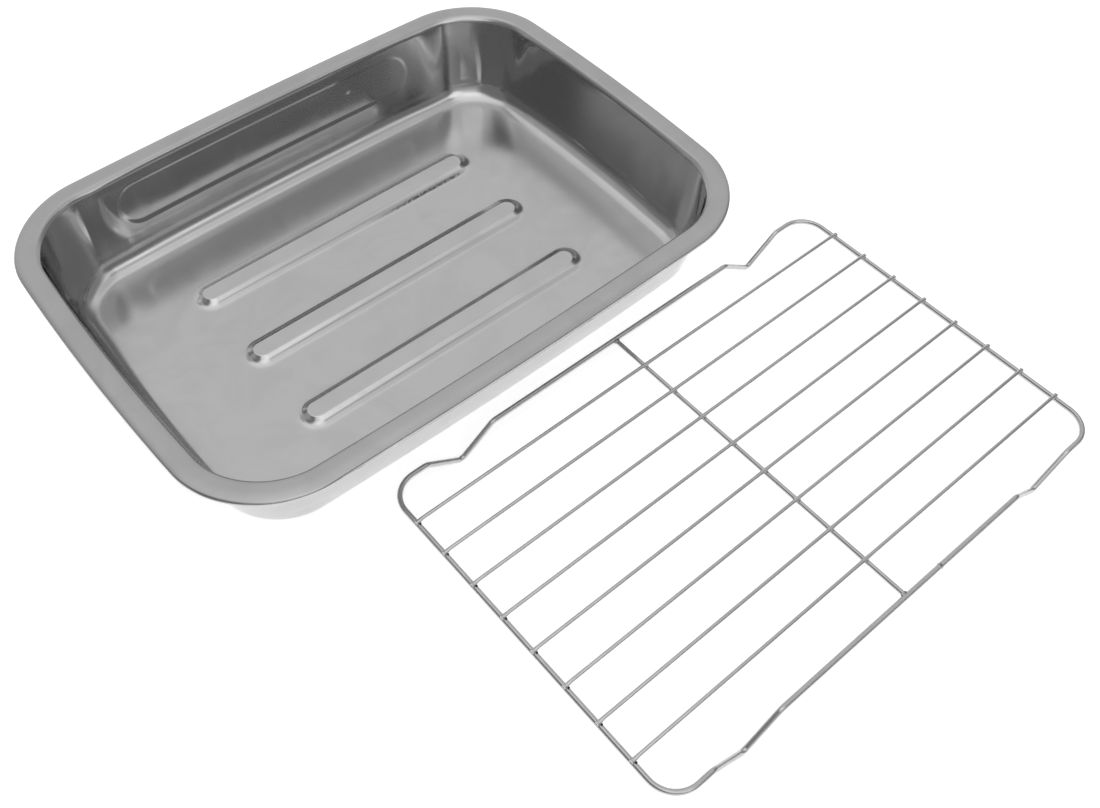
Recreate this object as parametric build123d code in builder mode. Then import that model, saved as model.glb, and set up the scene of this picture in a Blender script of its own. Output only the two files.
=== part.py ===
from build123d import *
from math import cos, radians, tan
import os

# Roasting pan with a loose wire rack lying beside it. Lengths are in millimetres, angles in
# degrees. The origin is the middle of the pair's footprint on the table: X runs along the
# pan's long sides, Y from the rack to the pan, Z up.

# Pressed steel pan
pan_length = 350.0
pan_width = 260.0
pan_depth = 55.0
sheet = 0.8
rim_corner_radius = 51.0
long_side_radius = 3900.0
short_side_radius = 1540.0
rim_width = 11.8
rim_bend_radius = 2.7
lip_drop = 3.0
lip_bend_radius = 0.6
wall_lean = 10.5
foot_radius = 12.0
floor_overlap = 2.0

# Ribs pressed up from the pan's floor, along its long sides
rib_count = 3
rib_pitch = 53.5
rib_length = 191.0
rib_width = 18.0
rib_height = 3.4
rib_steepness = 40.0
rib_crest_radius = 1.4
rib_foot_radius = 1.8
rib_overlap = 0.6

# Wire rack
rack_length = 302.0
rack_width = 202.0
rack_corner_radius = 15.0
frame_wire = 3.0
rod_wire = 2.0
cross_wire = 2.6
rod_count = 8
rod_margin = 24.7
rod_overhang = 1.2

# V-shaped legs, bent down from the frame's long sides
leg_reach = 14.2
leg_slope = 35.5
leg_run = 6.8
leg_tip_radius = 4.0
leg_shoulder_radius = 6.0

# Welds
weld_gap = 0.1
rod_weld_radius = 1.45
cross_weld_radius = 1.9
butt_weld_place = 25.0
butt_weld_length = 1.2
butt_weld_collar = 0.3
butt_weld_round = 0.25

# Where the rack lies: its middle is to the right of the pan's, its near wire under the rim
rack_shift = 60.0
rack_tuck = 4.0


# Places that follow from the sizes above
half_length = pan_length / 2
half_width = pan_width / 2
half_rack_length = rack_length / 2
half_rack_width = rack_width / 2
rod_reach = half_rack_length + rod_overhang
rack_reach = half_rack_length + max(rod_overhang, frame_wire / 2)
rack_drop = half_width - rack_tuck + half_rack_width
pair_left = min(-half_length, rack_shift - rack_reach)
pair_right = max(half_length, rack_shift + rack_reach)
pair_front = -rack_drop - half_rack_width - frame_wire / 2
pan_x = -(pair_left + pair_right) / 2
pan_y = -(pair_front + half_width) / 2
frame_height = leg_reach + frame_wire / 2
rod_rise = frame_wire / 2 + weld_gap + rod_wire / 2
cross_rise = rod_rise - rod_wire / 2 - weld_gap - cross_wire / 2
rod_pitch = (rack_width - 2 * rod_margin) / (rod_count - 1)
rod_places = [(index - (rod_count - 1) / 2) * rod_pitch for index in range(rod_count)]

pan_plane = Plane(origin=(pan_x, pan_y, 0))
rack_plane = Plane(origin=(pan_x + rack_shift, pan_y - rack_drop, frame_height))


def finish(piece, name):
    """Label a finished piece and write it to the parts folder."""
    piece.part.label = name
    export_step(piece.part, f"parts/{name}.step")


def pan_outline(plane, inset):
    """Draw the rim's outline, or one a given distance inside it: bowed sides, rounded corners."""
    long_side_centre = half_width - long_side_radius
    short_side_centre = half_length - short_side_radius
    with BuildSketch(plane) as outline:
        with Locations((0, long_side_centre)):
            Circle(long_side_radius - inset)
        with Locations((0, -long_side_centre)):
            Circle(long_side_radius - inset, mode=Mode.INTERSECT)
        with Locations((short_side_centre, 0)):
            Circle(short_side_radius - inset, mode=Mode.INTERSECT)
        with Locations((-short_side_centre, 0)):
            Circle(short_side_radius - inset, mode=Mode.INTERSECT)
        corners = outline.vertices().sort_by_distance((0, 0))[-4:]
        fillet(corners, rim_corner_radius - inset)
    return outline


# The sheet's underside in section, from the floor out to the lip
flange_height = pan_depth - sheet
wall_foot = rim_width + flange_height * tan(radians(wall_lean))
foot_reach = foot_radius * tan(radians((90 - wall_lean) / 2))
floor_inset = wall_foot + foot_reach

# A rib's top side in section runs up from the floor; its sides lean in by the rib's rise
rib_rise = rib_height / tan(radians(rib_steepness))
rib_foot_reach = rib_foot_radius * tan(radians(rib_steepness / 2))
rib_crest_reach = (rib_crest_radius + sheet) * tan(radians(rib_steepness / 2))
rib_crown_inset = rib_rise + rib_crest_reach
rib_outlines = []
for index in range(rib_count):
    rib_y = (index - (rib_count - 1) / 2) * rib_pitch
    with BuildSketch(Plane(origin=(pan_x, pan_y + rib_y, sheet))) as rib_outline:
        SlotOverall(rib_length, rib_width)
    rib_outlines.append(rib_outline)


def section_plane(path):
    """Give the upright plane across the start of a closed path, its X pointing outwards."""
    up = Vector(0, 0, 1)
    sideways = (path % 0).cross(up)
    outwards = sideways if sideways.dot(path @ 0 - path.center()) > 0 else -sideways
    return Plane(origin=path @ 0, x_dir=outwards, z_dir=outwards.cross(up))


os.makedirs("parts", exist_ok=True)

rim_path = pan_outline(pan_plane, 0).sketch.wire()
floor_outline = pan_outline(pan_plane, floor_inset)

with BuildPart() as roasting_pan:
    with BuildSketch(pan_plane):
        add(floor_outline.sketch_local)
        with GridLocations(0, rib_pitch, 1, rib_count):
            SlotOverall(
                rib_length + 2 * rib_foot_reach, rib_width + 2 * rib_foot_reach, mode=Mode.SUBTRACT
            )
    extrude(amount=sheet)

    with BuildSketch(pan_plane.offset(rib_height)):
        with GridLocations(0, rib_pitch, 1, rib_count):
            SlotOverall(rib_length - 2 * rib_crown_inset, rib_width - 2 * rib_crown_inset)
    extrude(amount=sheet)

    with BuildSketch(section_plane(rim_path)):
        with BuildLine():
            FilletPolyline(
                (-floor_inset - floor_overlap, 0),
                (-wall_foot, 0),
                (-rim_width, flange_height),
                (-sheet, flange_height),
                (-sheet, pan_depth - lip_drop),
                radius=[foot_radius, rim_bend_radius, lip_bend_radius],
            )
            offset(amount=sheet, side=Side.LEFT)
        make_face()
    sweep(path=rim_path)

    for rib_outline in rib_outlines:
        with BuildSketch(section_plane(rib_outline.sketch.wire())):
            with BuildLine():
                FilletPolyline(
                    (rib_foot_reach + rib_overlap, 0),
                    (0, 0),
                    (-rib_rise, rib_height),
                    (-rib_crown_inset - rib_overlap, rib_height),
                    radius=[rib_foot_radius, rib_crest_radius + sheet],
                )
                offset(amount=sheet, side=Side.LEFT)
            make_face()
        sweep(path=rib_outline.sketch.wire())
finish(roasting_pan, "roasting_pan")

# The frame's wire: one leg is a V between two bends, and the loop is open at its butt weld
leg_tip_cut = leg_tip_radius * (1 / cos(radians(leg_slope)) - 1)
leg_bend_reach = leg_shoulder_radius * tan(radians(leg_slope / 2))
straight_end = half_rack_length - rack_corner_radius - leg_run


def leg_points(end, side, heading):
    """Give one leg's three corners, in the order met when the wire runs along the heading.

    The signs of end and side say at which end of which long side it is.
    """
    depth = leg_reach + leg_tip_cut
    half_width = depth / tan(radians(leg_slope))
    x = end * (straight_end - leg_bend_reach - half_width)
    y = side * half_rack_width
    reach = heading * half_width
    return [(x - reach, y, 0), (x, y, -depth), (x + reach, y, 0)]


leg_radii = [leg_shoulder_radius, leg_tip_radius, leg_shoulder_radius]
corner_radii = [rack_corner_radius, rack_corner_radius]
weld_half = butt_weld_length / 2
with BuildPart() as rack_frame:
    with BuildLine(rack_plane) as frame_path:
        FilletPolyline(
            (butt_weld_place + weld_half, -half_rack_width, 0),
            *leg_points(1, -1, 1),
            (half_rack_length, -half_rack_width, 0),
            (half_rack_length, half_rack_width, 0),
            *leg_points(1, 1, -1),
            *leg_points(-1, 1, -1),
            (-half_rack_length, half_rack_width, 0),
            (-half_rack_length, -half_rack_width, 0),
            *leg_points(-1, -1, 1),
            (butt_weld_place - weld_half, -half_rack_width, 0),
            radius=leg_radii + corner_radii + leg_radii + leg_radii + corner_radii + leg_radii,
        )
    with BuildSketch(Plane(origin=frame_path.line @ 0, z_dir=frame_path.line % 0)):
        Circle(frame_wire / 2)
    sweep(path=frame_path.line)
finish(rack_frame, "rack_frame")

# The bead that closes the frame's loop, on the long side away from the pan
weld_start = rack_plane.from_local_coords((butt_weld_place - weld_half, -half_rack_width, 0))
with BuildPart() as frame_butt_weld:
    with BuildSketch(Plane(origin=weld_start, z_dir=(1, 0, 0))):
        Circle(frame_wire / 2 + butt_weld_collar)
    extrude(amount=butt_weld_length)
    fillet(frame_butt_weld.edges().filter_by(GeomType.CIRCLE), butt_weld_round)
finish(frame_butt_weld, "frame_butt_weld")

# Eight straight rods lie on the frame's short sides
rods = []
for index, place in enumerate(rod_places):
    rod_start = rack_plane.from_local_coords((-rod_reach, place, rod_rise))
    with BuildPart() as rod:
        with BuildSketch(Plane(origin=rod_start, z_dir=(1, 0, 0))):
            Circle(rod_wire / 2)
        extrude(amount=2 * rod_reach)
    finish(rod, f"rack_rod_{rod_count - index}")
    rods.append(rod)

# The cross rod runs under the rods and butts against the frame's long sides
cross_reach = half_rack_width - frame_wire / 2 - weld_gap
cross_start = rack_plane.from_local_coords((0, -cross_reach, cross_rise))
with BuildPart() as rack_cross_rod:
    with BuildSketch(Plane(origin=cross_start, z_dir=(0, 1, 0))):
        Circle(cross_wire / 2)
    extrude(amount=2 * cross_reach)
finish(rack_cross_rod, "rack_cross_rod")

# Spot welds fill the small gap where two wires meet, and swell out beside them
wires = [rack_frame, rack_cross_rod] + rods


def spot_welds(name, places, radius):
    """Make one group of weld spots at places given in the rack's plane, clear of the wires."""
    with BuildPart() as group:
        with Locations(*[rack_plane.from_local_coords(place) for place in places]):
            Sphere(radius)
        for round_wire in wires:
            add(round_wire.part, mode=Mode.SUBTRACT)
    finish(group, name)


rod_seat = rod_rise - rod_wire / 2 - weld_gap / 2
for side, x in (("left", -half_rack_length), ("right", half_rack_length), ("centre", 0)):
    spot_welds(f"rod_welds_{side}", [(x, place, rod_seat) for place in rod_places], rod_weld_radius)

cross_seat = half_rack_width - frame_wire / 2 - weld_gap / 2
cross_ends = [(0, -cross_seat, cross_rise / 2), (0, cross_seat, cross_rise / 2)]
spot_welds("cross_rod_welds", cross_ends, cross_weld_radius)
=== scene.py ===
"""The looks of a roasting pan with its loose wire rack: pressed steel, bent wire, welds and light."""

import logging
import math
from collections.abc import Callable, Iterator
from contextlib import contextmanager
from dataclasses import dataclass, field
from enum import Enum

import bmesh
import bpy
from mathutils import Matrix, Vector


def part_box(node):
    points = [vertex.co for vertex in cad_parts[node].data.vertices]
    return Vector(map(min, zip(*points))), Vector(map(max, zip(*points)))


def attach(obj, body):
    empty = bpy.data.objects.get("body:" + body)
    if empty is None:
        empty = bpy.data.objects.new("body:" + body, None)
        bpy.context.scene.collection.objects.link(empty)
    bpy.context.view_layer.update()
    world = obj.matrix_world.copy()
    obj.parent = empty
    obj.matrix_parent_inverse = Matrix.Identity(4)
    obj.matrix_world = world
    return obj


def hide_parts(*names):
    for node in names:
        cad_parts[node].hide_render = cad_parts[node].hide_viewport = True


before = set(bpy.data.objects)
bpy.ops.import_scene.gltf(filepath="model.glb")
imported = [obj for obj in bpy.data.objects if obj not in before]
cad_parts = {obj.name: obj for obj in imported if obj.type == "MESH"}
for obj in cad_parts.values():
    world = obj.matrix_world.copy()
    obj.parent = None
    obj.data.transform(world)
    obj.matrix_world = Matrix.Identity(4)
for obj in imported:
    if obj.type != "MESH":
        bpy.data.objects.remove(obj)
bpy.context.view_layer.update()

MM = 0.001
UP = Vector((0, 0, 1))
EAST = Vector((1, 0, 0))
NORTH = Vector((0, 1, 0))
Piece = bpy.types.Object
Material = bpy.types.Material
Node = bpy.types.Node
NodeTree = bpy.types.NodeTree
Socket = bpy.types.NodeSocket
Value = float | tuple[float, ...] | Vector | Socket
Inputs = dict[str | int, Value]
WHITE = (1, 1, 1, 1)
log = logging.getLogger("roasting_pan")


class Slot(Enum):
    """The record's material slots."""

    PAN = "pan_steel"
    WIRE = "rack_wire"
    WELD = "weld_steel"


class Body(Enum):
    """The two bodies that move against each other."""

    PAN = "pan"
    RACK = "rack"


def middle(node: str) -> Vector:
    """Give the middle of a CAD node's box, in metres."""
    low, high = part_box(node)
    return (low + high) / 2


def deselect() -> None:
    """Deselect every object, so that an operator acts only on what is selected next."""
    bpy.ops.object.select_all(action="DESELECT")


def pick(piece: Piece) -> None:
    """Make a piece the one selected and active object.

    Args:
        piece: The object to work on.
    """
    deselect()
    piece.select_set(True)
    bpy.context.view_layer.objects.active = piece


@contextmanager
def editing(piece: Piece) -> Iterator[None]:
    """Hold a piece in edit mode.

    Args:
        piece: The object to edit.
    """
    pick(piece)
    bpy.ops.object.mode_set(mode="EDIT")
    try:
        yield
    finally:
        bpy.ops.object.mode_set(mode="OBJECT")


def select_edges(piece: Piece, wanted: Callable[[bmesh.types.BMEdge], bool]) -> None:
    """Select the edges of a piece in edit mode that pass a test, and nothing else.

    Args:
        piece: The object in edit mode.
        wanted: The test, which is given each edge.
    """
    bpy.ops.mesh.select_mode(type="EDGE")
    bpy.ops.mesh.select_all(action="DESELECT")
    mesh = bmesh.from_edit_mesh(piece.data)
    for edge in mesh.edges:
        edge.select_set(wanted(edge))
    mesh.select_flush_mode()
    bmesh.update_edit_mesh(piece.data)


def apply_all(piece: Piece) -> None:
    """Apply every modifier of a piece.

    Args:
        piece: The object whose modifiers are applied.
    """
    pick(piece)
    for modifier in list(piece.modifiers):
        bpy.ops.object.modifier_apply(modifier=modifier.name)


def settle(piece: Piece) -> None:
    """Put a piece's place into its mesh, so that its object stands at the origin."""
    pick(piece)
    bpy.ops.object.transform_apply(location=True, rotation=True, scale=True)


def dress(piece: Piece, material: Material) -> None:
    """Give a piece one material all over."""
    piece.data.materials.clear()
    piece.data.materials.append(material)


def towards(azimuth: float, elevation: float) -> Vector:
    """Give a direction from its two angles in degrees; the azimuth runs from +Y towards +X."""
    around, up = math.radians(azimuth), math.radians(elevation)
    return Vector((math.sin(around) * math.cos(up), math.cos(around) * math.cos(up), math.sin(up)))


def stand_for(piece: Piece, node: str, body: Body) -> None:
    """Let a finished piece take a CAD node's place.

    Args:
        piece: The finished piece.
        node: The CAD node that it stands for.
        body: The body that it rides on.
    """
    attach(piece, body.value)
    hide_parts(node)


@dataclass
class Wiring:
    """A node tree that is wired up one node after another."""

    tree: NodeTree

    def add(self, kind: str, inputs: Inputs | None = None, **settings: object) -> Node:
        """Add a node.

        Args:
            kind: The node's type.
            inputs: What each input gets, by its name or number: a value, or another node's output.
            **settings: The node's own settings.

        Returns:
            The node.
        """
        node = self.tree.nodes.new(kind)
        for name, setting in settings.items():
            setattr(node, name, setting)
        self.drive(node, inputs or {})
        return node

    def drive(self, node: Node, inputs: Inputs) -> None:
        """Give a node its inputs.

        Args:
            node: The node.
            inputs: What each input gets, by its name or number: a value, or another node's output.
        """
        for name, value in inputs.items():
            if isinstance(value, Socket):
                self.tree.links.new(value, node.inputs[name])
            else:
                node.inputs[name].default_value = value

    def math(self, operation: str, *values: Value) -> Socket:
        """Work out a number with a Math node, given its operation and its inputs in order."""
        return self.add("ShaderNodeMath", dict(enumerate(values)), operation=operation).outputs[0]

    def vector(self, operation: str, *values: Value) -> Socket:
        """Work out a vector with a Vector Math node, given its operation and inputs in order."""
        node = self.add("ShaderNodeVectorMath", dict(enumerate(values)), operation=operation)
        return node.outputs[0]

    def measure(self, operation: str, first: Value, second: Value) -> Socket:
        """Work out a number from two vectors with a Vector Math node."""
        node = self.add("ShaderNodeVectorMath", {0: first, 1: second}, operation=operation)
        return node.outputs["Value"]

    def fade(self, value: Value, start: float, end: float, low: float = 0, high: float = 1) -> Socket:
        """Pass smoothly from the low level, where the value is at its start, to the high one."""
        ends = {"Value": value, "From Min": start, "From Max": end, "To Min": low, "To Max": high}
        return self.add("ShaderNodeMapRange", ends, interpolation_type="SMOOTHSTEP").outputs["Result"]

    def blend(self, share: Value, first: Value, second: Value) -> Socket:
        """Mix two numbers, given the second one's share."""
        return self.add("ShaderNodeMix", {0: share, 2: first, 3: second}, data_type="FLOAT").outputs[0]

    def effect(self, group: NodeTree, vector: Value, size: float, **inputs: float) -> Socket:
        """Place a shared effect, given its size and its other inputs by their names."""
        values = {"Vector": vector, "Size": size, **inputs}
        return self.add("ShaderNodeGroup", values, node_tree=group).outputs[0]

    def bump(self, height: Value, depth: float) -> Socket:
        """Turn a height, as a share of its depth, into the surface's normal."""
        return self.add("ShaderNodeBump", {"Height": height, "Distance": depth}).outputs["Normal"]

    def noise(self, vector: Value, scale: Value, **inputs: float) -> Socket:
        """Place a noise from 0 to 1, given its other inputs by their names."""
        node = self.add("ShaderNodeTexNoise", {"Vector": vector, "Scale": scale, **inputs})
        return node.outputs["Fac"]


def start_material(name: str) -> tuple[Material, Wiring, Node]:
    """Start a material.

    Args:
        name: The material's name.

    Returns:
        The material, its wiring and its surface's node.
    """
    material = bpy.data.materials.new(name)
    material.use_nodes = True
    tree = material.node_tree
    return material, Wiring(tree), tree.nodes["Principled BSDF"]


class Effects:
    """The effects that the steels share, each a node group that is built once.

    Each pair of edges holds the noise levels between which a mask rises.
    """

    cloud_edges: tuple[float, float] = (0.38, 0.66)
    line_edges: tuple[float, float] = (0.62, 0.72)
    patch_edges: tuple[float, float] = (0.45, 0.62)

    def __init__(self) -> None:
        """Build every effect."""
        self.waves = self.make_waves()
        self.clouds = self.make_clouds()
        self.hairlines = self.make_hairlines()

    @staticmethod
    def start(name: str, output: str, *numbers: str) -> tuple[Wiring, dict[str, Socket], Socket]:
        """Start a group that turns a place, a size and some numbers into one number.

        Args:
            name: The group's name.
            output: The name of its output.
            *numbers: The names of its inputs beside Vector and Size.

        Returns:
            The group's wiring, its inputs by name, and the noise scale that gives the size.
        """
        names = ("Vector", "Size", *numbers)
        tree = bpy.data.node_groups.new(name, "ShaderNodeTree")
        for key in names:
            kind = "NodeSocketVector" if key == "Vector" else "NodeSocketFloat"
            tree.interface.new_socket(key, in_out="INPUT", socket_type=kind)
        tree.interface.new_socket(output, in_out="OUTPUT", socket_type="NodeSocketFloat")
        wiring = Wiring(tree)
        outputs = wiring.add("NodeGroupInput").outputs
        inputs = {key: outputs[key] for key in names}
        return wiring, inputs, wiring.math("DIVIDE", 1, inputs["Size"])

    def make_waves(self) -> NodeTree:
        """Build the soft unevenness of bent and pressed steel, as a height from 0 to 1."""
        wiring, inputs, scale = self.start("soft_waves", "Height")
        broad = wiring.noise(inputs["Vector"], scale, Detail=1, Roughness=0.3)
        wiring.add("NodeGroupOutput", {0: broad})
        return wiring.tree

    def make_clouds(self) -> NodeTree:
        """Build the cloudy marks that handling leaves on bright steel, as a mask."""
        wiring, inputs, scale = self.start("handling_clouds", "Mask")
        clouds = wiring.noise(inputs["Vector"], scale, Detail=6, Roughness=0.55, Distortion=1.2)
        wiring.add("NodeGroupOutput", {0: wiring.fade(clouds, *self.cloud_edges)})
        return wiring.tree

    def make_hairlines(self) -> NodeTree:
        """Build sparse fine scratches that run one way, as a mask."""
        wiring, inputs, scale = self.start("hairlines", "Mask", "Turn", "Stretch")
        turn = {"Vector": inputs["Vector"], "Angle": inputs["Turn"]}
        turned = wiring.add("ShaderNodeVectorRotate", turn, rotation_type="Z_AXIS").outputs[0]
        stretches = {"X": 1, "Y": inputs["Stretch"], "Z": inputs["Stretch"]}
        stretch = wiring.add("ShaderNodeCombineXYZ", stretches).outputs[0]
        drawn_out = wiring.vector("MULTIPLY", turned, stretch)
        lines = wiring.noise(drawn_out, scale, Detail=2, Roughness=0.6)
        patches = wiring.noise(inputs["Vector"], scale, Detail=1)
        thin = wiring.fade(lines, *self.line_edges)
        sparse = wiring.fade(patches, *self.patch_edges)
        wiring.add("NodeGroupOutput", {0: wiring.math("MULTIPLY", thin, sparse)})
        return wiring.tree


@dataclass(frozen=True)
class WireSteel:
    """The rack's polished wire."""

    effects: Effects
    shade: float = 0.56
    roughness: float = 0.22
    cloud_size: float = 12 * MM
    cloud_roughness: float = 0.05
    cloud_shade: float = 0.04
    wave_size: float = 30 * MM
    wave_depth: float = 0.03 * MM

    def material(self) -> Material:
        """Make the wire's material.

        Returns:
            The material.
        """
        steel, wiring, surface = start_material("wire_steel")
        place = wiring.add("ShaderNodeTexCoord").outputs["Object"]
        clouds = wiring.effect(self.effects.clouds, place, self.cloud_size)
        waves = wiring.effect(self.effects.waves, place, self.wave_size)
        looks = {
            "Metallic": 1,
            "Base Color": wiring.blend(clouds, self.shade, self.shade - self.cloud_shade),
            "Roughness": wiring.blend(clouds, self.roughness, self.roughness + self.cloud_roughness),
            "Normal": wiring.bump(waves, self.wave_depth),
        }
        wiring.drive(surface, looks)
        return steel


@dataclass(frozen=True)
class WeldSteel:
    """The dull squashed metal of the welds, painted near-black as shade where the mesh marks the pits
    beside them.
    """

    effects: Effects
    shade: float = 0.5
    heat_shade: float = 0.3
    # painted shade: the near-black colour of the pits beside the left welds, standing in for the shade
    # and dark reflection there
    painted_shade_colour: float = 0.02
    roughness: float = 0.24
    painted_shade_roughness: float = 0.75
    cloud_size: float = 2.2 * MM
    grain_size: float = 0.6 * MM
    grain_depth: float = 0.05 * MM

    def material(self) -> Material:
        """Make the welds' material, which reads the mesh's painted-shade attribute and paints those
        pits near-black as shade.

        Returns:
            The material.
        """
        steel, wiring, surface = start_material("weld_steel")
        place = wiring.add("ShaderNodeTexCoord").outputs["Object"]
        # the mesh's mark for the pits that are painted near-black as shade
        painted_shade = wiring.add("ShaderNodeAttribute", attribute_name=WeldBeads.painted_shade_name)
        painted_shade = painted_shade.outputs["Fac"]
        clouds = wiring.effect(self.effects.clouds, place, self.cloud_size)
        grain = wiring.effect(self.effects.waves, place, self.grain_size)
        heated = wiring.blend(clouds, self.shade, self.heat_shade)
        looks = {
            # painted shade: the marked pits turn near-black and non-metallic
            "Base Color": wiring.blend(painted_shade, heated, self.painted_shade_colour),
            "Roughness": wiring.blend(painted_shade, self.roughness, self.painted_shade_roughness),
            "Metallic": wiring.math("SUBTRACT", 1, painted_shade),
            "Normal": wiring.bump(grain, self.grain_depth),
        }
        wiring.drive(surface, looks)
        return steel


@dataclass(frozen=True)
class Spot:
    """The point of the pan that is being shaded, and the wiring that shades it.

    The place and its three coordinates start at the pan's middle. rim is how far the spot
    belongs to the satin rim.
    """

    wiring: Wiring
    pan: "PanShell"
    place: Socket
    x: Socket
    y: Socket
    z: Socket
    rim: Socket


@dataclass(frozen=True)
class PressedSteel:
    """The pan's sheet: mirror-bright where it was drawn, satin on the rim, with the marks of use.

    wall_from and wall_full are the heights, in foot radii, where the floor's roughness gives way.
    """

    effects: Effects
    shade: float = 0.6
    # painted shade: the satin rim's colour is darker than the walls', standing in for the darker light
    # it reflects; its satin roughness is real
    rim_painted_shade: float = 0.5
    wall_roughness: float = 0.06
    floor_roughness: float = 0.17
    wall_from: float = 0.5
    wall_full: float = 1.2
    satin_roughness: float = 0.27
    satin_from: float = 51.5 * MM
    satin_full: float = 54.2 * MM
    cloud_size: float = 38 * MM
    cloud_roughness: float = 0.05
    cloud_shade: float = 0.03
    wave_size: float = 55 * MM
    wave_depth: float = 0.1 * MM
    pucker_size: float = 20 * MM
    pucker_depth: float = 1.2 * MM
    pucker_stretch: float = 0.35
    scratch_size: float = 30 * MM
    scratch_stretch: float = 40
    scratch_turns: tuple[float, float] = (0.5, 2.1)
    scratch_roughness: float = 0.05
    grain_length: float = 22 * MM
    grain_stretch: float = 60
    grain_depth: float = 0.012 * MM
    rub_width: float = 1.9 * MM
    rub_start: float = 10 * MM
    rub_end: float = 90 * MM
    rub_shade: float = 0.05
    rub_grain: float = 0.9 * MM
    rub_edges: tuple[float, float] = (0.38, 0.52)
    rub_fade: float = 10 * MM
    dent_place: tuple[float, float, float] = (54 * MM, 114 * MM, 38 * MM)
    dent_radius: float = 4 * MM
    dent_depth: float = 0.1 * MM
    bulge_x: float = -3 * MM
    bulge_z: float = 33.5 * MM
    bulge_run: float = 88 * MM
    bulge_radius: float = 12 * MM
    bulge_edge: float = 1.8 * MM
    bulge_depth: float = 0.2 * MM

    def material(self, pan: "PanShell") -> Material:
        """Make the pan's material.

        Args:
            pan: The pan, for its middle and for the places of its corners and ribs.

        Returns:
            The material.
        """
        steel, wiring, surface = start_material("pan_steel")
        place = wiring.add("ShaderNodeTexCoord").outputs["Object"]
        place = wiring.vector("SUBTRACT", place, pan.centre)
        x, y, z = wiring.add("ShaderNodeSeparateXYZ", {0: place}).outputs
        rim = wiring.fade(z, self.satin_from, self.satin_full)
        spot = Spot(wiring, pan, place, x, y, z, rim)
        clouds = wiring.effect(self.effects.clouds, place, self.cloud_size)
        # painted shade on the rim's colour, with the handling clouds' real tone
        base_and_rim_shade = wiring.blend(rim, self.shade, self.rim_painted_shade)
        base_and_rim_shade = wiring.math("MULTIPLY_ADD", clouds, -self.cloud_shade, base_and_rim_shade)
        low, high = self.wall_from * pan.foot_radius, self.wall_full * pan.foot_radius
        mirror = wiring.fade(z, low, high, self.floor_roughness, self.wall_roughness)
        mirror = wiring.math("MULTIPLY_ADD", clouds, self.cloud_roughness, mirror)
        mirror = wiring.math("MULTIPLY_ADD", self.scratches(spot), self.scratch_roughness, mirror)
        satin = wiring.math("MULTIPLY_ADD", clouds, self.cloud_roughness, self.satin_roughness)
        looks = {
            "Metallic": 1,
            "Base Color": wiring.blend(self.rub_mark(spot), base_and_rim_shade, self.rub_shade),
            "Roughness": wiring.blend(rim, mirror, satin),
            "Normal": wiring.bump(self.height(spot), 1),
        }
        wiring.drive(surface, looks)
        return steel

    def scratches(self, spot: Spot) -> Socket:
        """Scratch the sheet finely in two directions.

        Args:
            spot: The shaded spot.

        Returns:
            The scratches' mask.
        """
        size, stretch = self.scratch_size, self.scratch_stretch
        masks = [
            spot.wiring.effect(self.effects.hairlines, spot.place, size, Turn=turn, Stretch=stretch)
            for turn in self.scratch_turns
        ]
        return spot.wiring.math("MAXIMUM", *masks)

    def rub_mark(self, spot: Spot) -> Socket:
        """Rub a broken dark streak along the near edge of the farthest rib.

        Args:
            spot: The shaded spot.

        Returns:
            The streak's mask.
        """
        wiring = spot.wiring
        edge = spot.pan.rib_pitch - spot.pan.rib_width / 2
        off = wiring.math("ABSOLUTE", wiring.math("SUBTRACT", spot.y, edge))
        band = wiring.fade(off, self.rub_width, 0)
        starts = wiring.fade(spot.x, self.rub_start, (self.rub_start + self.rub_end) / 2)
        ends = wiring.fade(spot.x, self.rub_end, self.rub_end - self.rub_fade)
        noise = wiring.noise(spot.place, 1 / self.rub_grain, Detail=4, Roughness=0.8)
        broken = wiring.fade(noise, *self.rub_edges)
        streak = wiring.math("MULTIPLY", wiring.math("MULTIPLY", starts, ends), broken)
        return wiring.math("MULTIPLY", band, streak)

    def height(self, spot: Spot) -> Socket:
        """Give the sheet's unevenness, in metres.

        Args:
            spot: The shaded spot.

        Returns:
            The height.
        """
        waves = spot.wiring.effect(self.effects.waves, spot.place, self.wave_size)
        parts = (
            (waves, self.wave_depth),
            (self.puckers(spot), self.pucker_depth),
            (self.dent(spot), self.dent_depth),
            (self.bulge(spot), self.bulge_depth),
            (self.rim_lines(spot), self.grain_depth),
        )
        total: Value = 0.0
        for share, depth in parts:
            total = spot.wiring.math("MULTIPLY_ADD", share, depth, total)
        return total

    def puckers(self, spot: Spot) -> Socket:
        """Pucker the walls softly in the corners, where the sheet was drawn in.

        Args:
            spot: The shaded spot.

        Returns:
            The puckers' share of their depth.
        """
        wiring, pan = spot.wiring, spot.pan
        drawn = wiring.math("SUBTRACT", 1, spot.rim)
        drawn = wiring.math("MULTIPLY", drawn, wiring.fade(spot.z, 0, pan.foot_radius))
        for way, size in ((spot.x, pan.length), (spot.y, pan.width)):
            corner = size / 2 - pan.corner_radius
            beside = wiring.fade(wiring.math("ABSOLUTE", way), corner - pan.corner_radius, corner)
            drawn = wiring.math("MULTIPLY", drawn, beside)
        drawn_out = wiring.vector("MULTIPLY", spot.place, (1, 1, self.pucker_stretch))
        waves = wiring.effect(self.effects.waves, drawn_out, self.pucker_size)
        return wiring.math("MULTIPLY", waves, drawn)

    def dent(self, spot: Spot) -> Socket:
        """Dent the far wall a little in one place, and give the dent's share of its depth."""
        off = spot.wiring.measure("DISTANCE", spot.place, self.dent_place)
        return spot.wiring.fade(off, self.dent_radius, 0)

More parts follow.
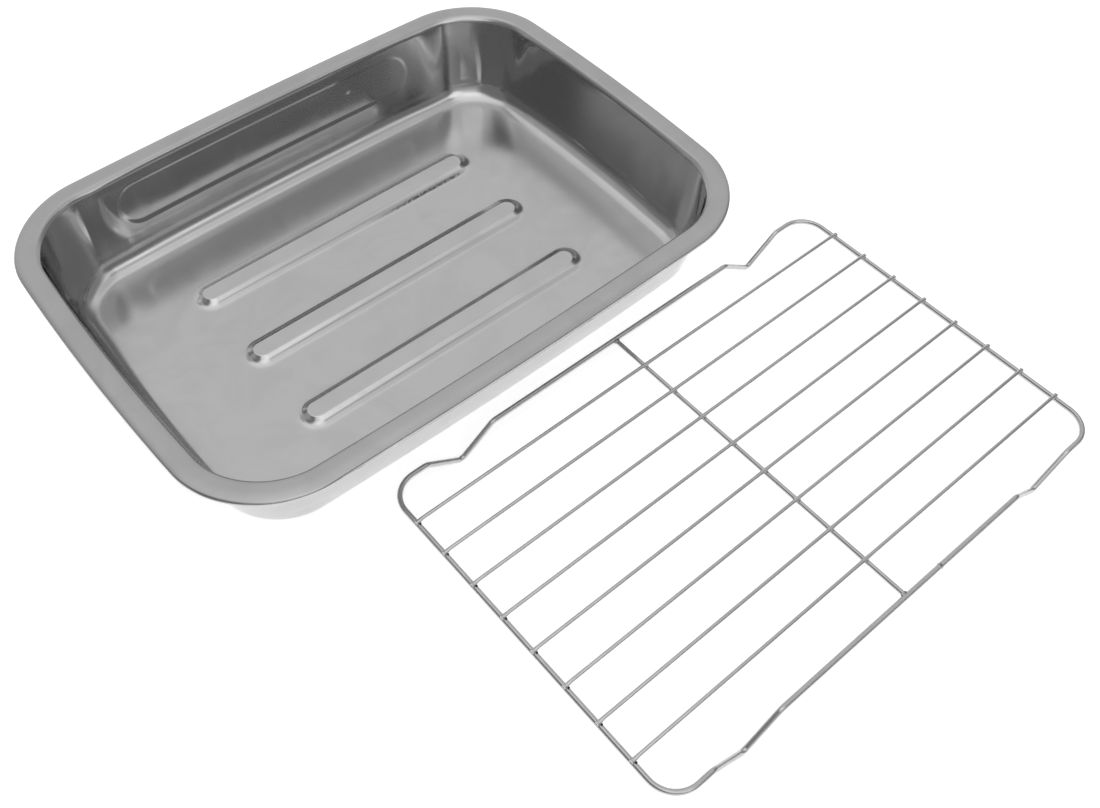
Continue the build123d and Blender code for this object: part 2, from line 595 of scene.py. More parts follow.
    def bulge(self, spot: Spot) -> Socket:
        """Spring the far wall out a little inside a long outline with round ends.

        Args:
            spot: The shaded spot.

        Returns:
            The bulge's share of its depth.
        """
        wiring = spot.wiring
        aside = wiring.math("ABSOLUTE", wiring.math("SUBTRACT", spot.x, self.bulge_x))
        aside = wiring.math("MAXIMUM", wiring.math("SUBTRACT", aside, self.bulge_run), 0)
        rise = wiring.math("SUBTRACT", spot.z, self.bulge_z)
        square = wiring.math("MULTIPLY_ADD", rise, rise, wiring.math("MULTIPLY", aside, aside))
        inner, outer = self.bulge_radius - self.bulge_edge, self.bulge_radius + self.bulge_edge
        mask = wiring.fade(wiring.math("SQRT", square), outer, inner)
        far_from = spot.pan.width / 2 - spot.pan.corner_radius
        return wiring.math("MULTIPLY", mask, wiring.math("GREATER_THAN", spot.y, far_from))

    def rim_lines(self, spot: Spot) -> Socket:
        """Draw fine lines along the rim, all the way round it.

        Args:
            spot: The shaded spot.

        Returns:
            The lines' share of their depth.
        """
        wiring, radius = spot.wiring, spot.pan.length / 2
        around = wiring.vector("NORMALIZE", wiring.vector("MULTIPLY", spot.place, (1, 1, 0)))
        around = wiring.vector("MULTIPLY", around, (radius, radius, 0))
        across = wiring.add("ShaderNodeAttribute", attribute_name=spot.pan.across_name)
        across = wiring.math("MULTIPLY", across.outputs["Fac"], self.grain_stretch)
        across = wiring.add("ShaderNodeCombineXYZ", {"Z": across}).outputs[0]
        grain = wiring.vector("ADD", around, across)
        lines = wiring.effect(self.effects.waves, grain, self.grain_length)
        return wiring.math("MULTIPLY", lines, spot.rim)


@dataclass
class Profile:
    """A section through bent sheet, drawn as straight runs and bends from one edge inwards.

    heading is the way the section runs, in degrees above the inward direction.
    """

    heading: float
    steps: list[tuple[float, float]] = field(default_factory=list)

    def run(self, length: float) -> "Profile":
        """Go straight on, and return the profile itself, so that calls can follow one another."""
        angle = math.radians(self.heading)
        self.steps.append((length * math.cos(angle), length * math.sin(angle)))
        return self

    def bend(self, radius: float, turn: float, count: int) -> "Profile":
        """Go round a bend.

        Args:
            radius: The bend's radius.
            turn: How far the heading turns, in degrees; positive turns upwards.
            count: How many chords stand for the arc.

        Returns:
            The profile itself, so that calls can follow one another.
        """
        chord = 2 * radius * math.sin(math.radians(abs(turn)) / count / 2)
        for _ in range(count):
            self.heading += turn / count / 2
            self.run(chord)
            self.heading += turn / count / 2
        return self


@dataclass
class PanShell:
    """The pressed steel pan: lip, rim, walls, foot and a floor with three hollow ribs."""

    centre: Vector
    length: float = 350 * MM
    width: float = 260 * MM
    depth: float = 55 * MM
    sheet: float = 0.8 * MM
    corner_radius: float = 51 * MM
    long_side_radius: float = 3900 * MM
    short_side_radius: float = 1540 * MM
    lip_drop: float = 3 * MM
    lip_radius: float = 1.4 * MM
    crown_radius: float = 20 * MM
    crown_slope: float = 16
    flange: float = 9.66 * MM
    rim_radius: float = 3.5 * MM
    wall_lean: float = 9.0
    wall_bow: float = 5.8
    foot_radius: float = 12.8 * MM
    rib_count: int = 3
    rib_pitch: float = 53.5 * MM
    rib_length: float = 191 * MM
    rib_width: float = 18 * MM
    rib_height: float = 3.4 * MM
    rib_steepness: float = 40
    rib_foot_radius: float = 8.5 * MM
    rib_crest_radius: float = 1.0 * MM
    margin: float = 1.5 * MM
    merge_gap: float = 0.001 * MM
    corner_steps: int = 28
    side_steps: int = 24
    lip_steps: int = 6
    crown_steps: int = 4
    rim_steps: int = 12
    wall_steps: int = 8
    foot_steps: int = 16
    rib_steps: int = 8
    rib_end_steps: int = 14
    smooth_angle: float = 40
    across_name: str = "across"

    def build(self, finish: PressedSteel) -> list[Piece]:
        """Press the pan out of one rounded plate and dress it.

        Args:
            finish: The sheet's finish.

        Returns:
            The finished pan.
        """
        pan = self.start_plate()
        with editing(pan):
            self.round_corners(pan)
            self.press(pan, self.wall_profile())
            bpy.ops.mesh.delete(type="ONLY_FACE")
            for index in range(self.rib_count):
                self.add_rib(pan, (index - (self.rib_count - 1) / 2) * self.rib_pitch)
            self.close_floor(pan)
        self.give_thickness(pan)
        dress(pan, finish.material(self))
        stand_for(pan, "roasting_pan", Body.PAN)
        return [pan]

    def start_plate(self) -> Piece:
        """Lay down the plate that the pan is pressed from, at the height of the lip's edge.

        Returns:
            The flat plate.
        """
        deselect()
        place = self.centre + UP * (self.depth - self.lip_drop)
        bpy.ops.mesh.primitive_plane_add(size=1, location=place)
        pan = bpy.context.object
        pan.name = "pan_shell"
        pan.scale = (self.length, self.width, 1)
        settle(pan)
        return pan

    def round_corners(self, pan: Piece) -> None:
        """Round the plate's corners and bow its four sides outwards.

        Args:
            pan: The plate, in edit mode.
        """
        bpy.ops.mesh.select_all(action="SELECT")
        bpy.ops.mesh.bevel(
            offset=self.corner_radius, segments=self.corner_steps, affect="VERTICES", profile=0.5
        )
        select_edges(pan, lambda edge: edge.calc_length() > self.corner_radius)
        bpy.ops.mesh.subdivide(number_cuts=self.side_steps)
        mesh = bmesh.from_edit_mesh(pan.data)
        for vertex in mesh.verts:
            along = vertex.co - self.centre
            share_x = 2 * along.x / self.length
            share_y = 2 * along.y / self.width
            vertex.co.y -= share_y * along.x**2 / (2 * self.long_side_radius)
            vertex.co.x -= share_x * along.y**2 / (2 * self.short_side_radius)
        bmesh.update_edit_mesh(pan.data)
        bpy.ops.mesh.select_all(action="SELECT")

    def wall_profile(self) -> Profile:
        """Give the section from the lip's edge to the flat floor, along the sheet's top side.

        Returns:
            The section's steps.
        """
        top_lean = self.wall_lean - self.wall_bow
        foot_lean = self.wall_lean + self.wall_bow
        rim_fall = self.rim_radius * (1 - math.sin(math.radians(top_lean)))
        foot_fall = self.foot_radius * (1 - math.sin(math.radians(foot_lean)))
        wall = self.depth - self.sheet - rim_fall - foot_fall
        wall /= math.cos(math.radians(self.wall_lean))
        bow_radius = wall / 2 / math.sin(math.radians(self.wall_bow))
        crown = math.radians(self.crown_slope)
        crown_rise = self.lip_radius * math.cos(crown) + self.crown_radius * (1 - math.cos(crown))
        crown_reach = self.lip_radius * (1 - math.sin(crown)) + self.crown_radius * math.sin(crown)
        profile = Profile(90).run(self.lip_drop - crown_rise)
        profile.bend(self.lip_radius, self.crown_slope - 90, self.lip_steps)
        profile.bend(self.crown_radius, -self.crown_slope, self.crown_steps)
        profile.run(self.flange - crown_reach)
        profile.bend(self.rim_radius, top_lean - 90, self.rim_steps)
        profile.bend(bow_radius, 2 * self.wall_bow, self.wall_steps)
        profile.bend(self.foot_radius, 90 - foot_lean, self.foot_steps)
        return profile.run(self.margin)

    def rib_profile(self) -> Profile:
        """Give the section of a rib, from the flat floor beside it to the flat top.

        Returns:
            The section's steps.
        """
        turn = math.radians(self.rib_steepness)
        bends = (self.rib_foot_radius + self.rib_crest_radius) * (1 - math.cos(turn))
        slope = (self.rib_height - bends) / math.sin(turn)
        profile = Profile(0).run(self.margin)
        profile.bend(self.rib_foot_radius, self.rib_steepness, self.rib_steps)
        profile.run(slope)
        profile.bend(self.rib_crest_radius, -self.rib_steepness, self.rib_steps)
        return profile.run(self.margin / 2)

    def press(self, pan: Piece, profile: Profile) -> None:
        """Press the selected flat face into a section, one ring after another.

        Each ring keeps how far it lies along the section, as an attribute.

        Args:
            pan: The pan, in edit mode.
            profile: The section that the face's edge follows.
        """
        gone = 0.0
        for inwards, upwards in profile.steps:
            bpy.ops.mesh.inset(thickness=inwards, depth=upwards, use_even_offset=True)
            gone += math.hypot(inwards, upwards)
            mesh = bmesh.from_edit_mesh(pan.data)
            layers = mesh.verts.layers.float
            layer = layers.get(self.across_name) or layers.new(self.across_name)
            for vertex in mesh.verts:
                if vertex.select:
                    vertex[layer] = gone
            bmesh.update_edit_mesh(pan.data)

    def add_rib(self, pan: Piece, across: float) -> None:
        """Press one rib up from the floor, as a ring of its own.

        Args:
            pan: The pan, in edit mode.
            across: The rib's place along Y from the pan's middle.
        """
        foot_reach = self.rib_foot_radius * math.tan(math.radians(self.rib_steepness / 2))
        outer = 2 * (self.margin + foot_reach)
        place = self.centre + Vector((0, across, self.sheet))
        bpy.ops.mesh.primitive_plane_add(size=1, location=place)
        size = (self.rib_length + outer, self.rib_width + outer, 1)
        bpy.ops.transform.resize(value=size, center_override=place)
        bpy.ops.mesh.bevel(
            offset=size[1] / 2, segments=self.rib_end_steps, affect="VERTICES", profile=0.5
        )
        bpy.ops.mesh.remove_doubles(threshold=self.merge_gap)
        bpy.ops.mesh.select_mode(type="FACE")
        self.press(pan, self.rib_profile())

    def close_floor(self, pan: Piece) -> None:
        """Fill the flat floor between the foot and the ribs.

        Args:
            pan: The pan, in edit mode.
        """
        ceiling = self.sheet + self.rib_height / 2
        select_edges(pan, lambda edge: edge.is_boundary and edge.verts[0].co.z < ceiling)
        bpy.ops.mesh.fill()
        bpy.ops.mesh.select_all(action="SELECT")
        bpy.ops.mesh.normals_make_consistent(inside=False)
        mesh = bmesh.from_edit_mesh(pan.data)
        low_faces = [face for face in mesh.faces if face.calc_center_median().z < ceiling]
        if max(low_faces, key=lambda face: face.calc_area()).normal.z < 0:
            bpy.ops.mesh.flip_normals()

    def give_thickness(self, pan: Piece) -> None:
        """Give the sheet its thickness and smooth its shading.

        Args:
            pan: The pan's top side.
        """
        solid = pan.modifiers.new("sheet", "SOLIDIFY")
        solid.thickness = self.sheet
        solid.offset = -1
        solid.use_even_offset = True
        apply_all(pan)
        bpy.ops.object.shade_smooth_by_angle(angle=math.radians(self.smooth_angle))


@dataclass(frozen=True)
class Station:
    """One place along a straight wire, with the shape that the wire has there.

    width and height are shares of the wire's diameter, and drop is how far it sinks.
    """

    place: float
    width: float = 1
    height: float = 1
    drop: float = 0


@dataclass
class WireBender:
    """A round wire that is fed out straight and bent, the way a rack's wires are made."""

    name: str
    start: Vector
    heading: Vector
    diameter: float
    sides: int = 20
    smooth_angle: float = 50
    wire: Piece = field(init=False)
    tip: Vector = field(init=False)

    def begin(self) -> None:
        """Cut the wire's first end: a ring across its heading."""
        deselect()
        turn = self.heading.to_track_quat("Z", "Y").to_euler()
        bpy.ops.mesh.primitive_circle_add(
            vertices=self.sides,
            radius=self.diameter / 2,
            location=self.start,
            rotation=turn,
            fill_type="NGON",
        )
        self.wire = bpy.context.object
        self.wire.name = self.name
        settle(self.wire)
        bpy.ops.object.mode_set(mode="EDIT")
        bpy.ops.mesh.select_all(action="SELECT")
        self.tip = self.start.copy()

    def feed(self, length: float) -> None:
        """Feed the wire straight on."""
        self.shift(self.heading * length)

    def shift(self, move: Vector) -> None:
        """Add a ring to the wire, a given way from its last one."""
        bpy.ops.mesh.extrude_region_move(TRANSFORM_OT_translate={"value": move})
        self.tip += move

    def squash(self, width: float, height: float) -> None:
        """Squash the wire's newest ring about its middle.

        Args:
            width: The share that its level breadth keeps.
            height: The share that its height keeps.
        """
        side = self.heading.cross(UP)
        value = [1 + (width - 1) * abs(side.x), 1 + (width - 1) * abs(side.y), height]
        bpy.ops.transform.resize(value=value, center_override=self.tip)

    def follow(self, stations: list[Station]) -> None:
        """Draw a straight wire through its stations.

        Args:
            stations: The stations in order; the wire begins at the first.
        """
        self.begin()
        last = stations[0]
        self.squash(last.width, last.height)
        for station in stations[1:]:
            ahead = self.heading * (station.place - last.place)
            self.shift(ahead + UP * (last.drop - station.drop))
            self.squash(station.width / last.width, station.height / last.height)
            last = station

    def bend(self, radius: float, turn: float, axis: Vector, steps: int) -> None:
        """Bend the wire round a former.

        Args:
            radius: The bend's radius, to the wire's middle.
            turn: How far it turns, in degrees, by the right-hand rule about the axis.
            axis: The former's axis.
            steps: How many rings the bend has.
        """
        sign = 1 if turn > 0 else -1
        former = self.tip + axis.cross(self.heading) * radius * sign
        for _ in range(steps):
            spin = Matrix.Rotation(math.radians(turn) / steps, 3, axis)
            tip = former + spin @ (self.tip - former)
            self.shift(tip - self.tip)
            self.turn_ring(spin)
            self.heading = spin @ self.heading

    def turn_ring(self, spin: Matrix) -> None:
        """Turn the wire's newest ring to face along its heading.

        Args:
            spin: The turn.
        """
        mesh = bmesh.from_edit_mesh(self.wire.data)
        for vertex in mesh.verts:
            if vertex.select:
                vertex.co = self.tip + spin @ (vertex.co - self.tip)
        bmesh.update_edit_mesh(self.wire.data)

    def end(self) -> Piece:
        """Cut the wire off and smooth its shading.

        Returns:
            The finished wire.
        """
        bpy.ops.mesh.select_all(action="SELECT")
        bpy.ops.mesh.normals_make_consistent(inside=False)
        bpy.ops.object.mode_set(mode="OBJECT")
        pick(self.wire)
        bpy.ops.object.shade_smooth_by_angle(angle=math.radians(self.smooth_angle))
        return self.wire


@dataclass
class WeldBeads:
    """A row of squashed weld beads, one where each pair of wires meets."""

    name: str
    places: list[Vector]
    reach: Vector
    # where a small pit, painted near-black as shade, sits beside each bead
    painted_shade_offset: Vector | None = None
    painted_shade_radius: float = 0.6 * MM
    lump_size: float = 1.3 * MM
    lump_depth: float = 0.3 * MM
    flat_share: float = 0.75
    # the attribute that marks the pits painted near-black as shade
    painted_shade_name = "painted_shade"

    def build(self) -> Piece:
        """Squash one bead, copy it to every place and make each a little different.

        Returns:
            The finished beads, as one piece.
        """
        deselect()
        bpy.ops.mesh.primitive_ico_sphere_add(subdivisions=3, radius=1, location=self.places[0])
        beads = bpy.context.object
        beads.name = self.name
        beads.scale = self.reach
        settle(beads)
        with editing(beads):
            self.flatten(beads)
            self.copy_along()
        self.roughen(beads)
        self.painted_shade(beads)
        return beads

    def flatten(self, beads: Piece) -> None:
        """Press the first bead's top flat, as the welding electrode does.

        Args:
            beads: The bead, in edit mode.
        """
        level = self.places[0].z + self.reach.z * self.flat_share
        mesh = bmesh.from_edit_mesh(beads.data)
        for vertex in mesh.verts:
            vertex.co.z = min(vertex.co.z, level)
        bmesh.update_edit_mesh(beads.data)

    def copy_along(self) -> None:
        """Copy the first bead to the other places."""
        bpy.ops.mesh.select_all(action="SELECT")
        for here, there in zip(self.places, self.places[1:]):
            bpy.ops.mesh.duplicate_move(TRANSFORM_OT_translate={"value": there - here})

    def roughen(self, beads: Piece) -> None:
        """Give the beads uneven lumps, different on each.

        Args:
            beads: All the beads.
        """
        lumps = bpy.data.textures.new(f"{self.name}_lumps", "CLOUDS")
        lumps.noise_scale = self.lump_size
        uneven = beads.modifiers.new("lumps", "DISPLACE")
        uneven.texture = lumps
        uneven.texture_coords = "LOCAL"
        uneven.strength = self.lump_depth
        apply_all(beads)
        bpy.ops.object.shade_smooth()

    def painted_shade(self, beads: Piece) -> None:
        """Add a small pit beside each bead and mark it, so that the material paints it near-black as
        shade.

        Args:
            beads: All the beads.
        """
        unshaded_vertex_count = len(beads.data.vertices)
        if self.painted_shade_offset:
            with editing(beads):
                for place in self.places:
                    bpy.ops.mesh.select_all(action="DESELECT")
                    pit = place + self.painted_shade_offset
                    bpy.ops.mesh.primitive_ico_sphere_add(
                        subdivisions=2, radius=self.painted_shade_radius, location=pit
                    )
                    bpy.ops.transform.resize(value=(1, 1, self.flat_share), center_override=pit)
        # painted shade: mark the pits' vertices for the near-black colour
        marks = beads.data.attributes.new(self.painted_shade_name, "FLOAT", "POINT")
        for index in range(unshaded_vertex_count, len(beads.data.vertices)):
            marks.data[index].value = 1


@dataclass
class Rack:
    """The wire rack: a bent frame on four feet, eight rods, a cross rod and their welds."""

    centre: Vector
    wire_finish: WireSteel
    weld_finish: WeldSteel
    length: float = 302 * MM
    width: float = 202 * MM
    corner_radius: float = 15 * MM
    frame_wire: float = 3 * MM
    rod_wire: float = 2 * MM
    cross_wire: float = 2.6 * MM
    rod_overhang: float = 1.2 * MM
    rod_count: int = 8
    leg_reach: float = 14.2 * MM
    leg_slope: float = 35.5
    leg_run: float = 6.8 * MM
    leg_tip_radius: float = 4 * MM
    leg_shoulder_radius: float = 6 * MM
    corner_steps: int = 12
    tip_steps: int = 12
    shoulder_steps: int = 6
    weld_place: float = 25 * MM
    weld_length: float = 1.2 * MM
    weld_collar: float = 0.3 * MM
    weld_slip: float = 0.1 * MM
    weld_root: float = 0.98
    rod_weld_reach: Vector = Vector((1.55, 1.4, 0.9)) * MM
    cross_weld_reach: Vector = Vector((1.9, 1.2, 1.6)) * MM
    cut_round: float = 0.3 * MM
    cut_share: float = 0.7
    squash_reach: float = 1.4 * MM
    squash_end: float = 3.2 * MM
    squash_width: float = 1.14
    squash_height: float = 0.8
    squash_drop: float = 0.35 * MM
    # where the pit painted near-black as shade sits beside each left weld
    painted_shade_shift: Vector = Vector((0.7, -1.45, 0.1)) * MM

    def build(self) -> list[Piece]:
        """Make the rack's wires and welds and dress them.

        Returns:
            Every finished piece.
        """
        wire_steel = self.wire_finish.material()
        weld_steel = self.weld_finish.material()
        wires = {
            "rack_frame": self.build_frame(),
            "rack_cross_rod": self.build_cross_rod(),
            **self.build_rods(),
        }
        welds = {
            "frame_butt_weld": self.build_butt_weld(),
            "cross_rod_welds": self.build_cross_welds(),
            **self.build_rod_welds(),
        }
        for node, wire in wires.items():
            dress(wire, wire_steel)
            stand_for(wire, node, Body.RACK)
        for node, weld in welds.items():
            dress(weld, weld_steel)
            stand_for(weld, node, Body.RACK)
        return [*wires.values(), *welds.values()]

    def rod_places(self) -> list[Vector]:
        """Give the middle of each rod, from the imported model."""
        return [middle(f"rack_rod_{index + 1}") for index in range(self.rod_count)]

    def leg(self) -> tuple[float, float]:
        """Work out one leg.

        Returns:
            The straight length of each side of the leg, and half the leg's length along the frame.
        """
        slope = math.radians(self.leg_slope)
        depth = self.leg_reach + self.leg_tip_radius * (1 / math.cos(slope) - 1)
        tip_reach = self.leg_tip_radius * math.tan(slope)
        shoulder_reach = self.leg_shoulder_radius * math.tan(slope / 2)
        slant = depth / math.sin(slope) - shoulder_reach - tip_reach
        return slant, depth / math.tan(slope) + shoulder_reach

    def build_frame(self) -> Piece:
        """Bend the frame's wire from its butt weld all the way round.

        Returns:
            The finished frame.
        """
        slant, half_leg = self.leg()
        leg_start = self.length / 2 - self.corner_radius - self.leg_run - 2 * half_leg
        half_weld = self.weld_length / 2
        start = self.centre + Vector((self.weld_place + half_weld, -self.width / 2, 0))
        bender = WireBender("frame_wire", start, EAST.copy(), self.frame_wire)
        bender.begin()
        bender.feed(leg_start - self.weld_place - half_weld)
        self.bend_end(bender, slant)
        bender.feed(2 * leg_start)
        self.bend_end(bender, slant)
        bender.feed(leg_start + self.weld_place - half_weld)
        return bender.end()

    def bend_end(self, bender: WireBender, slant: float) -> None:
        """Bend one short side of the frame, with its two corners and the leg beyond each of them.

        Args:
            bender: The wire, at a leg's first shoulder.
            slant: The straight length of each side of a leg.
        """
        self.bend_leg(bender, slant)
        bender.feed(self.leg_run)
        bender.bend(self.corner_radius, 90, UP, self.corner_steps)
        bender.feed(self.width - 2 * self.corner_radius)
        bender.bend(self.corner_radius, 90, UP, self.corner_steps)
        bender.feed(self.leg_run)
        self.bend_leg(bender, slant)

    def bend_leg(self, bender: WireBender, slant: float) -> None:
        """Bend one V-shaped leg down from the frame and up again.

        Args:
            bender: The wire, at the leg's first shoulder.
            slant: The straight length of each side of the leg.
        """
        axis = bender.heading.cross(UP)
        bender.bend(self.leg_shoulder_radius, -self.leg_slope, axis, self.shoulder_steps)
        bender.feed(slant)
        bender.bend(self.leg_tip_radius, 2 * self.leg_slope, axis, self.tip_steps)
        bender.feed(slant)
        bender.bend(self.leg_shoulder_radius, -self.leg_slope, axis, self.shoulder_steps)

    def crossing(self, place: float) -> list[Station]:
        """Give the stations where a wire is squashed against another that it crosses.

        Args:
            place: The other wire's place along this one.

        Returns:
            The stations.
        """
        squashed = (1 + (self.squash_width - 1) / 2, (1 + self.squash_height) / 2)
        return [
            Station(place - self.squash_end),
            Station(place - self.squash_reach, *squashed),
            Station(place + self.squash_reach, *squashed),
            Station(place + self.squash_end),
        ]

    def rod_end(self, side: int) -> list[Station]:
        """Give the stations of a rod's squashed and cut end, from the left to the right.

        Args:
            side: -1 for the left end, 1 for the right.

        Returns:
            The stations.
        """
        seat = self.length / 2
        cut = seat + self.rod_overhang
        width, height, drop = self.squash_width, self.squash_height, self.squash_drop
        stations = [
            Station(side * (seat - self.squash_end)),
            Station(side * (seat - self.squash_reach), width, height, drop),
            Station(side * (cut - self.cut_round), width, height, drop),
            Station(side * cut, width / 2, height / 2, drop),
        ]
        return stations[::side]

    def build_rods(self) -> dict[str, Piece]:
        """Draw one rod and copy it to the other rods' places.

        Returns:
            The rods, by the CAD nodes that they stand for.
        """
        places = self.rod_places()
        stations = self.rod_end(-1) + self.crossing(0) + self.rod_end(1)
        start = places[0] + EAST * stations[0].place - UP * stations[0].drop
        bender = WireBender("rod_wire_1", start, EAST.copy(), self.rod_wire)
        bender.follow(stations)
        rods = [bender.end()]
        for index, place in enumerate(places[1:], start=2):
            rod = rods[0].copy()
            rod.data = rods[0].data.copy()
            rod.name = f"rod_wire_{index}"
            rod.data.transform(Matrix.Translation(place - places[0]))
            bpy.context.scene.collection.objects.link(rod)
            rods.append(rod)
        return {f"rack_rod_{index + 1}": rod for index, rod in enumerate(rods)}

    def build_cross_rod(self) -> Piece:
        """Draw the thicker rod that runs under the others.

        Returns:
            The finished cross rod.
        """
        low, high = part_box("rack_cross_rod")
        centre = (low + high) / 2
        half = (high - low).y / 2
        cut = (self.cut_share, self.cut_share)
        stations = [Station(-half, *cut), Station(self.cut_round - half)]
        for place in sorted(place.y - centre.y for place in self.rod_places()):
            stations += self.crossing(place)
        stations += [Station(half - self.cut_round), Station(half, *cut)]
        start = centre + NORTH * stations[0].place
        bender = WireBender("cross_wire", start, NORTH.copy(), self.cross_wire)
        bender.follow(stations)
        return bender.end()

    def build_butt_weld(self) -> Piece:
        """Draw the swollen seam that closes the frame's loop.

        Returns:
            The finished seam.
        """
        half = self.weld_length / 2
        swell = 1 + 2 * self.weld_collar / self.frame_wire
        part_swell = (1 + swell) / 2
        root, slip = self.weld_root, self.weld_slip
        seam = self.centre + Vector((self.weld_place, -self.width / 2, 0))
        stations = [
            Station(-half, root, root),
            Station(-half + self.cut_round, part_swell, swell),
            Station(0, swell, part_swell),
            Station(half - self.cut_round, part_swell, part_swell, slip),
            Station(half, root, root, slip),
        ]
        bender = WireBender("frame_weld_seam", seam - EAST * half, EAST.copy(), self.frame_wire)
        bender.follow(stations)
        return bender.end()

    def build_rod_welds(self) -> dict[str, Piece]:
        """Squash the beads that hold the rods to the frame's short sides and to the cross rod.

        Returns:
            The three groups of beads, by the CAD nodes that they stand for.
        """
        # only the left welds get a pit painted near-black as shade
        sides = (("left", -1, self.painted_shade_shift), ("right", 1, None), ("centre", 0, None))
        groups = {}
        for side, end, painted_shade_offset in sides:
            shift = EAST * end * self.length / 2 - UP * self.rod_wire / 2
            seats = [place + shift for place in self.rod_places()]
            beads = WeldBeads(f"weld_beads_{side}", seats, self.rod_weld_reach, painted_shade_offset)
            groups[f"rod_welds_{side}"] = beads.build()
        return groups

    def build_cross_welds(self) -> Piece:
        """Squash the two beads that hold the cross rod's ends to the frame.

        Returns:
            The two beads, as one piece.
        """
        low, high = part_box("rack_cross_rod")
        centre = (low + high) / 2
        ends = [Vector((centre.x, y, centre.z)) for y in (low.y, high.y)]
        return WeldBeads("weld_beads_cross_ends", ends, self.cross_weld_reach).build()


@dataclass(frozen=True)
class Patch:
    """A part of the sky that is lighter or darker than the rest.

    The azimuth runs from +Y towards +X. Core and edge are angles from the patch's middle.
    """

    azimuth: float
    elevation: float
    core: float
    edge: float
    level: float

    def direction(self) -> Vector:
        """Give the way to the patch's middle."""
        return towards(self.azimuth, self.elevation)


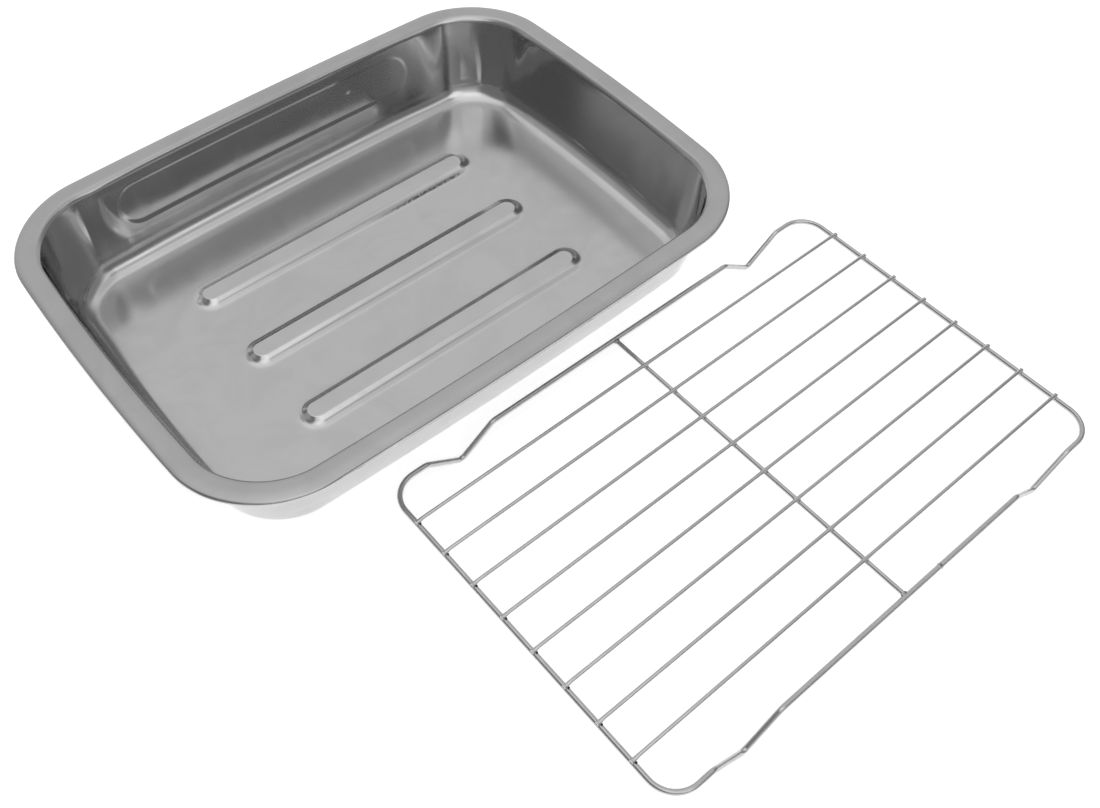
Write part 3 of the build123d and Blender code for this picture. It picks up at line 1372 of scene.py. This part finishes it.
@dataclass
class Studio:
    """The pale floor, the soft light and the camera.

    The camera's azimuth runs from -Y, the front, towards +X.
    """

    pan_centre: Vector
    azimuth: float = -41.386
    elevation: float = 53.474
    roll: float = 1.252
    distance: float = 630.25 * MM
    target_x: float = 12.5 * MM
    target_y: float = -127.85 * MM
    lens: float = 38.4
    sensor: float = 36
    near_clip: float = 10 * MM
    floor_size: float = 8
    floor_lift: float = 0.62
    paper_shade: float = 0.9
    paper_roughness: float = 0.9
    paper_gloss: float = 0.1
    low_sky: float = 0.4
    low_elevation: float = 12
    high_sky: float = 1.0
    high_elevation: float = 64
    patches: tuple[Patch, ...] = (
        Patch(25, 25, 15, 60, 0.72),
        Patch(-88, 22, 30, 48, 0.22),
        Patch(108, 20, 14, 30, 0.28),
        Patch(178, 44, 8, 20, 1.35),
        Patch(160, 20, 14, 24, 0.2),
        Patch(-140, 67, 8, 26, 1.1),
        Patch(98, 60, 8, 22, 0.64),
        Patch(144, 58, 4, 12, 0.45),
        Patch(-36, 36, 10, 20, 0.46),
    )
    softbox: Patch = Patch(-140, 66, 0, 12, 0.2)
    softbox_distance: float = 1.6

    def build(self) -> None:
        """Set up the floor, the light and the camera."""
        self.add_floor()
        self.add_sky()
        self.add_softbox()
        self.add_camera()

    def add_camera(self) -> None:
        """Stand the camera at the photograph's viewing angle."""
        back = towards(180 - self.azimuth, self.elevation)
        right = (-back).cross(UP).normalized()
        above = right.cross(-back)
        lean = math.radians(self.roll)
        tilted_right = math.cos(lean) * right + math.sin(lean) * above
        tilted_up = math.cos(lean) * above - math.sin(lean) * right
        target = self.pan_centre + Vector((self.target_x, self.target_y, 0))
        turn = Matrix((tilted_right, tilted_up, back)).transposed().to_4x4()
        data = bpy.data.cameras.new("camera")
        data.lens, data.sensor_width = self.lens, self.sensor
        data.clip_start = self.near_clip
        camera = bpy.data.objects.new("camera", data)
        camera.matrix_world = Matrix.Translation(target + back * self.distance) @ turn
        bpy.context.scene.collection.objects.link(camera)
        bpy.context.scene.camera = camera

    def add_floor(self) -> None:
        """Lay the pale floor, which shows white and keeps the object's shadow."""
        deselect()
        bpy.ops.mesh.primitive_plane_add(size=self.floor_size, location=(0, 0, 0))
        floor = bpy.context.object
        floor.name = "floor"
        paper, wiring, surface = start_material("paper")
        path = wiring.add("ShaderNodeLightPath").outputs
        seen = wiring.math("MAXIMUM", path["Is Camera Ray"], path["Is Glossy Ray"])
        seen = wiring.math("MAXIMUM", seen, path["Is Transmission Ray"])
        looks = {
            "Base Color": (self.paper_shade, self.paper_shade, self.paper_shade, 1),
            "Roughness": self.paper_roughness,
            "Specular IOR Level": self.paper_gloss,
            "Emission Color": WHITE,
            "Emission Strength": wiring.math("MULTIPLY", seen, self.floor_lift),
        }
        wiring.drive(surface, looks)
        dress(floor, paper)

    def add_sky(self) -> None:
        """Surround the object with a soft sky, darker towards the ground and in a few patches."""
        world = bpy.data.worlds.new("studio")
        bpy.context.scene.world = world
        world.use_nodes = True
        world.node_tree.nodes.clear()
        wiring = Wiring(world.node_tree)
        way = wiring.add("ShaderNodeTexCoord").outputs["Generated"]
        height = wiring.add("ShaderNodeSeparateXYZ", {0: way}).outputs["Z"]
        low = math.sin(math.radians(self.low_elevation))
        high = math.sin(math.radians(self.high_elevation))
        level = wiring.fade(height, low, high, self.low_sky, self.high_sky)
        for patch in self.patches:
            near = wiring.measure("DOT_PRODUCT", way, patch.direction())
            edge, core = (math.cos(math.radians(angle)) for angle in (patch.edge, patch.core))
            level = wiring.blend(wiring.fade(near, edge, core), level, patch.level)
        sky = wiring.add("ShaderNodeBackground", {"Color": WHITE, "Strength": level}).outputs[0]
        white = wiring.add("ShaderNodeBackground", {"Color": WHITE, "Strength": 1}).outputs[0]
        seen = wiring.add("ShaderNodeLightPath").outputs["Is Camera Ray"]
        mixed = wiring.add("ShaderNodeMixShader", {0: seen, 1: sky, 2: white}).outputs[0]
        wiring.add("ShaderNodeOutputWorld", {"Surface": mixed})

    def add_softbox(self) -> None:
        """Hang a square softbox that faces the object."""
        way = self.softbox.direction()
        data = bpy.data.lights.new("softbox", "AREA")
        data.size = 2 * self.softbox_distance * math.tan(math.radians(self.softbox.edge))
        data.energy = self.softbox.level * math.pi * data.size**2
        lamp = bpy.data.objects.new("softbox", data)
        turn = way.to_track_quat("Z", "Y").to_matrix().to_4x4()
        lamp.matrix_world = Matrix.Translation(way * self.softbox_distance) @ turn
        bpy.context.scene.collection.objects.link(lamp)


def main() -> None:
    """Build the pan, the rack and the studio in order, and report each piece."""
    logging.basicConfig(level=logging.INFO, format="%(message)s")
    bpy.context.scene.view_settings.view_transform = "Standard"
    effects = Effects()

    pan_middle = middle("roasting_pan")
    pan_middle.z = 0
    pieces = PanShell(pan_middle).build(PressedSteel(effects))

    rack_middle = middle("rack_frame")
    rack_middle.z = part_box("rack_frame")[1].z - Rack.frame_wire / 2
    pieces += Rack(rack_middle, WireSteel(effects), WeldSteel(effects)).build()

    for piece in pieces:
        log.info("%s: %d faces", piece.name, len(piece.data.polygons))
    Studio(pan_middle).build()


if __name__ == "__main__":
    main()
